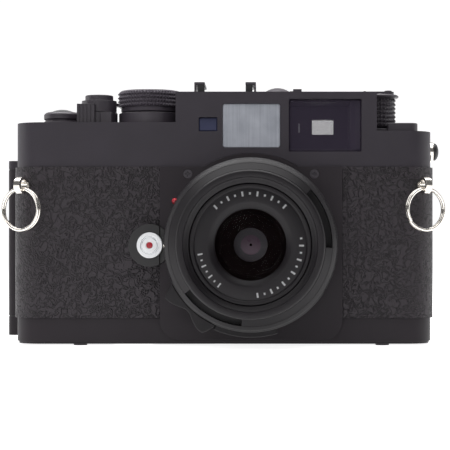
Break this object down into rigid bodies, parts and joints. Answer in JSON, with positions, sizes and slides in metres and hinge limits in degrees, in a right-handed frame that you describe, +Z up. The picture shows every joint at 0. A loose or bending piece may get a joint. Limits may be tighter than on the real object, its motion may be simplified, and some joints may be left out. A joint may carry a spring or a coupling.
{
  "type": "rangefinder camera",
  "caption": "Black 35 mm rangefinder camera with stepped finder housing, leatherette body, small wide lens with focusing tab, knurled dials and strap rings.",
  "frame": {"origin": "mouth of the tripod socket, in the underside of the bottom cover", "axes": "+Z up; the lens looks along -Y; +X is the rewind knob side, at the right as seen from the front"},
  "size_m": [0.1424, 0.0641, 0.0847],
  "materials": {
    "black_paint": "satin black enamel",
    "panel_paint": "matt black enamel",
    "leather": "black leatherette, pebble grain",
    "lens_black": "matt black anodised",
    "control_black": "black chrome, knurled",
    "casting": "die cast, blackened",
    "chrome": "polished",
    "steel": "brushed",
    "black_plastic": "moulded, matt",
    "inner_black": "flat black",
    "clear_glass": "coated optical glass",
    "frosted_glass": "frosted, ribbed",
    "lens_glass": "multi-coated optical glass",
    "red_enamel": "gloss",
    "button_white": "bright satin",
    "counter_white": "printed disc",
    "iris_grey": "blued"
  },
  "bodies": {
    "camera_body": {"casting_centre": "casting", "casting_takeup": "casting", "casting_sprocket": "casting", "casting_cassette": "casting", "top_cover": "black_paint", "bottom_cover": "panel_paint", "body_leather": "leather", "front_panel": "panel_paint", "cover_screws": "control_black", "mount_ring": "chrome", "mount_index": "red_enamel", "release_bezel": "black_plastic", "clear_windows": "clear_glass", "frameline_window": "frosted_glass", "finder_tunnel": "inner_black", "eyepiece_ring": "black_plastic", "accessory_shoe": "control_black", "counter_bezel": "control_black", "release_post": "steel", "dial_base": "control_black", "rewind_base": "control_black", "sync_socket": "chrome", "strap_lugs": "chrome", "tripod_socket": "steel", "shutter_frame": "inner_black", "hinge_pin": "steel", "lens_base": "lens_black"},
    "advance_lever": {"advance_lever": "control_black", "lever_tip": "black_plastic"},
    "counter_disc": {"counter_disc": "counter_white"},
    "shutter_button": {"shutter_button": "control_black"},
    "power_switch": {"power_switch": "control_black"},
    "speed_dial": {"speed_dial": "control_black"},
    "rewind_bush": {"rewind_bush": "steel"},
    "rewind_spindle": {"rewind_shaft": "steel", "rewind_knob": "control_black"},
    "rewind_crank": {"rewind_crank": "control_black"},
    "crank_handle": {"crank_handle": "control_black"},
    "selector_lever": {"selector_lever": "control_black"},
    "release_button": {"release_button": "button_white"},
    "focus_ring": {"focus_ring": "lens_black", "focus_tab": "lens_black"},
    "lens_barrel": {"lens_barrel": "lens_black", "filter_ring": "lens_black", "name_ring": "lens_black", "lens_elements": "lens_glass"},
    "aperture_ring": {"aperture_ring": "lens_black", "iris_blades": "iris_grey"},
    "back_door": {"back_door": "panel_paint", "door_leather": "leather", "thumb_rest": "black_plastic"},
    "pressure_plate": {"pressure_plate": "inner_black"},
    "takeup_spool": {"takeup_spool": "black_plastic"},
    "sprocket_shaft": {"sprocket_shaft": "steel"},
    "rewind_release": {"rewind_release": "steel"},
    "battery_cover": {"battery_cover": "steel"},
    "strap_ring_left": {"strap_ring_left": "chrome"},
    "strap_ring_right": {"strap_ring_right": "chrome"},
    "curtain_upper": {"curtain_upper": "iris_grey"},
    "curtain_lower": {"curtain_lower": "iris_grey"}
  },
  "joints": [
    {"name": "advance_stroke", "type": "hinge", "parent": "camera_body", "child": "advance_lever", "pos_m": [-0.0408, -0.002, 0.0765], "axis": [0, 0, 1], "range_deg": [0, 120]},
    {"name": "counter_turn", "type": "hinge", "parent": "camera_body", "child": "counter_disc", "pos_m": [-0.0532, 0.0015, 0.071], "axis": [0, 0, 1], "range_deg": [0, 10]},
    {"name": "release_press", "type": "slide", "parent": "camera_body", "child": "shutter_button", "axis": [0, 0, -1], "range_m": [0, 0.0012], "stiffness_N_per_m": 1500},
    {"name": "power_turn", "type": "hinge", "parent": "camera_body", "child": "power_switch", "pos_m": [-0.0408, -0.002, 0.073], "axis": [0, 0, 1], "range_deg": [0, 28]},
    {"name": "speed_turn", "type": "hinge", "parent": "camera_body", "child": "speed_dial", "pos_m": [-0.0243, 0, 0.078], "axis": [0, 0, 1], "range_deg": [-150, 150]},
    {"name": "rewind_turn", "type": "hinge", "parent": "camera_body", "child": "rewind_bush", "pos_m": [0.0503, 0.0006, 0.058], "axis": [0, 0, 1], "continuous": true},
    {"name": "rewind_lift", "type": "slide", "parent": "rewind_bush", "child": "rewind_spindle", "axis": [0, 0, 1], "range_m": [0, 0.01]},
    {"name": "crank_unfold", "type": "hinge", "parent": "rewind_spindle", "child": "rewind_crank", "pos_m": [0.0459, 0.0006, 0.08145], "axis": [0, -1, 0], "range_deg": [0, 170]},
    {"name": "handle_spin", "type": "hinge", "parent": "rewind_crank", "child": "crank_handle", "pos_m": [0.0537, 0.0006, 0.081], "axis": [0, 0, 1], "continuous": true},
    {"name": "frame_select", "type": "hinge", "parent": "camera_body", "child": "selector_lever", "pos_m": [0.0174, 0, 0.081], "axis": [0, 0, 1], "range_deg": [-22, 22]},
    {"name": "lens_unlock", "type": "slide", "parent": "camera_body", "child": "release_button", "axis": [0, 1, 0], "range_m": [0, 0.0012], "stiffness_N_per_m": 1200},
    {"name": "focus_turn", "type": "hinge", "parent": "camera_body", "child": "focus_ring", "pos_m": [0.0089, -0.0253, 0.0316], "axis": [0, -1, 0], "range_deg": [0, 88]},
    {"name": "helicoid_travel", "type": "slide", "parent": "camera_body", "child": "lens_barrel", "axis": [0, -1, 0], "range_m": [0, 0.001]},
    {"name": "aperture_turn", "type": "hinge", "parent": "lens_barrel", "child": "aperture_ring", "pos_m": [0.0089, -0.0373, 0.0316], "axis": [0, -1, 0], "range_deg": [-45, 45]},
    {"name": "back_door_swing", "type": "hinge", "parent": "camera_body", "child": "back_door", "pos_m": [-0.0693, 0.005, 0.032], "axis": [0, 0, 1], "range_deg": [0, 110]},
    {"name": "pressure_plate_give", "type": "slide", "parent": "back_door", "child": "pressure_plate", "axis": [0, 1, 0], "range_m": [0, 0.0008], "stiffness_N_per_m": 1500},
    {"name": "takeup_turn", "type": "hinge", "parent": "camera_body", "child": "takeup_spool", "pos_m": [-0.0495, 0.0006, 0.032], "axis": [0, 0, 1], "range_deg": [0, 320]},
    {"name": "sprocket_turn", "type": "hinge", "parent": "camera_body", "child": "sprocket_shaft", "pos_m": [-0.0275, 0.0046, 0.033], "axis": [0, 0, 1], "range_deg": [0, 361]},
    {"name": "rewind_release_press", "type": "slide", "parent": "camera_body", "child": "rewind_release", "axis": [0, 0, 1], "range_m": [0, 0.001], "stiffness_N_per_m": 800},
    {"name": "battery_cover_out", "type": "slide", "parent": "camera_body", "child": "battery_cover", "axis": [0, 0, -1], "range_m": [0, 0.01]},
    {"name": "strap_ring_left_swing", "type": "hinge", "parent": "camera_body", "child": "strap_ring_left", "pos_m": [-0.06435, -0.0156, 0.0506], "axis": [-0.9063, 0.4226, 0], "range_deg": [-4, 100]},
    {"name": "strap_ring_right_swing", "type": "hinge", "parent": "camera_body", "child": "strap_ring_right", "pos_m": [0.06435, -0.0156, 0.0506], "axis": [-0.9063, -0.4226, 0], "range_deg": [-4, 100]},
    {"name": "curtain_upper_run", "type": "slide", "parent": "camera_body", "child": "curtain_upper", "axis": [0, 0, -1], "range_m": [0, 0.0249]},
    {"name": "curtain_lower_run", "type": "slide", "parent": "camera_body", "child": "curtain_lower", "axis": [0, 0, -1], "range_m": [0, 0.0127]}
  ],
  "couplings": [
    {"joint": "counter_turn", "follows": "advance_stroke", "ratio": 0.0717},
    {"joint": "sprocket_turn", "follows": "advance_stroke", "ratio": 3},
    {"joint": "takeup_turn", "follows": "advance_stroke", "ratio": 2.6},
    {"joint": "focus_turn", "follows": "helicoid_travel", "rad_per_m": 1535},
    {"joint": "curtain_lower_run", "follows": "curtain_upper_run", "ratio": 0.506}
  ]
}
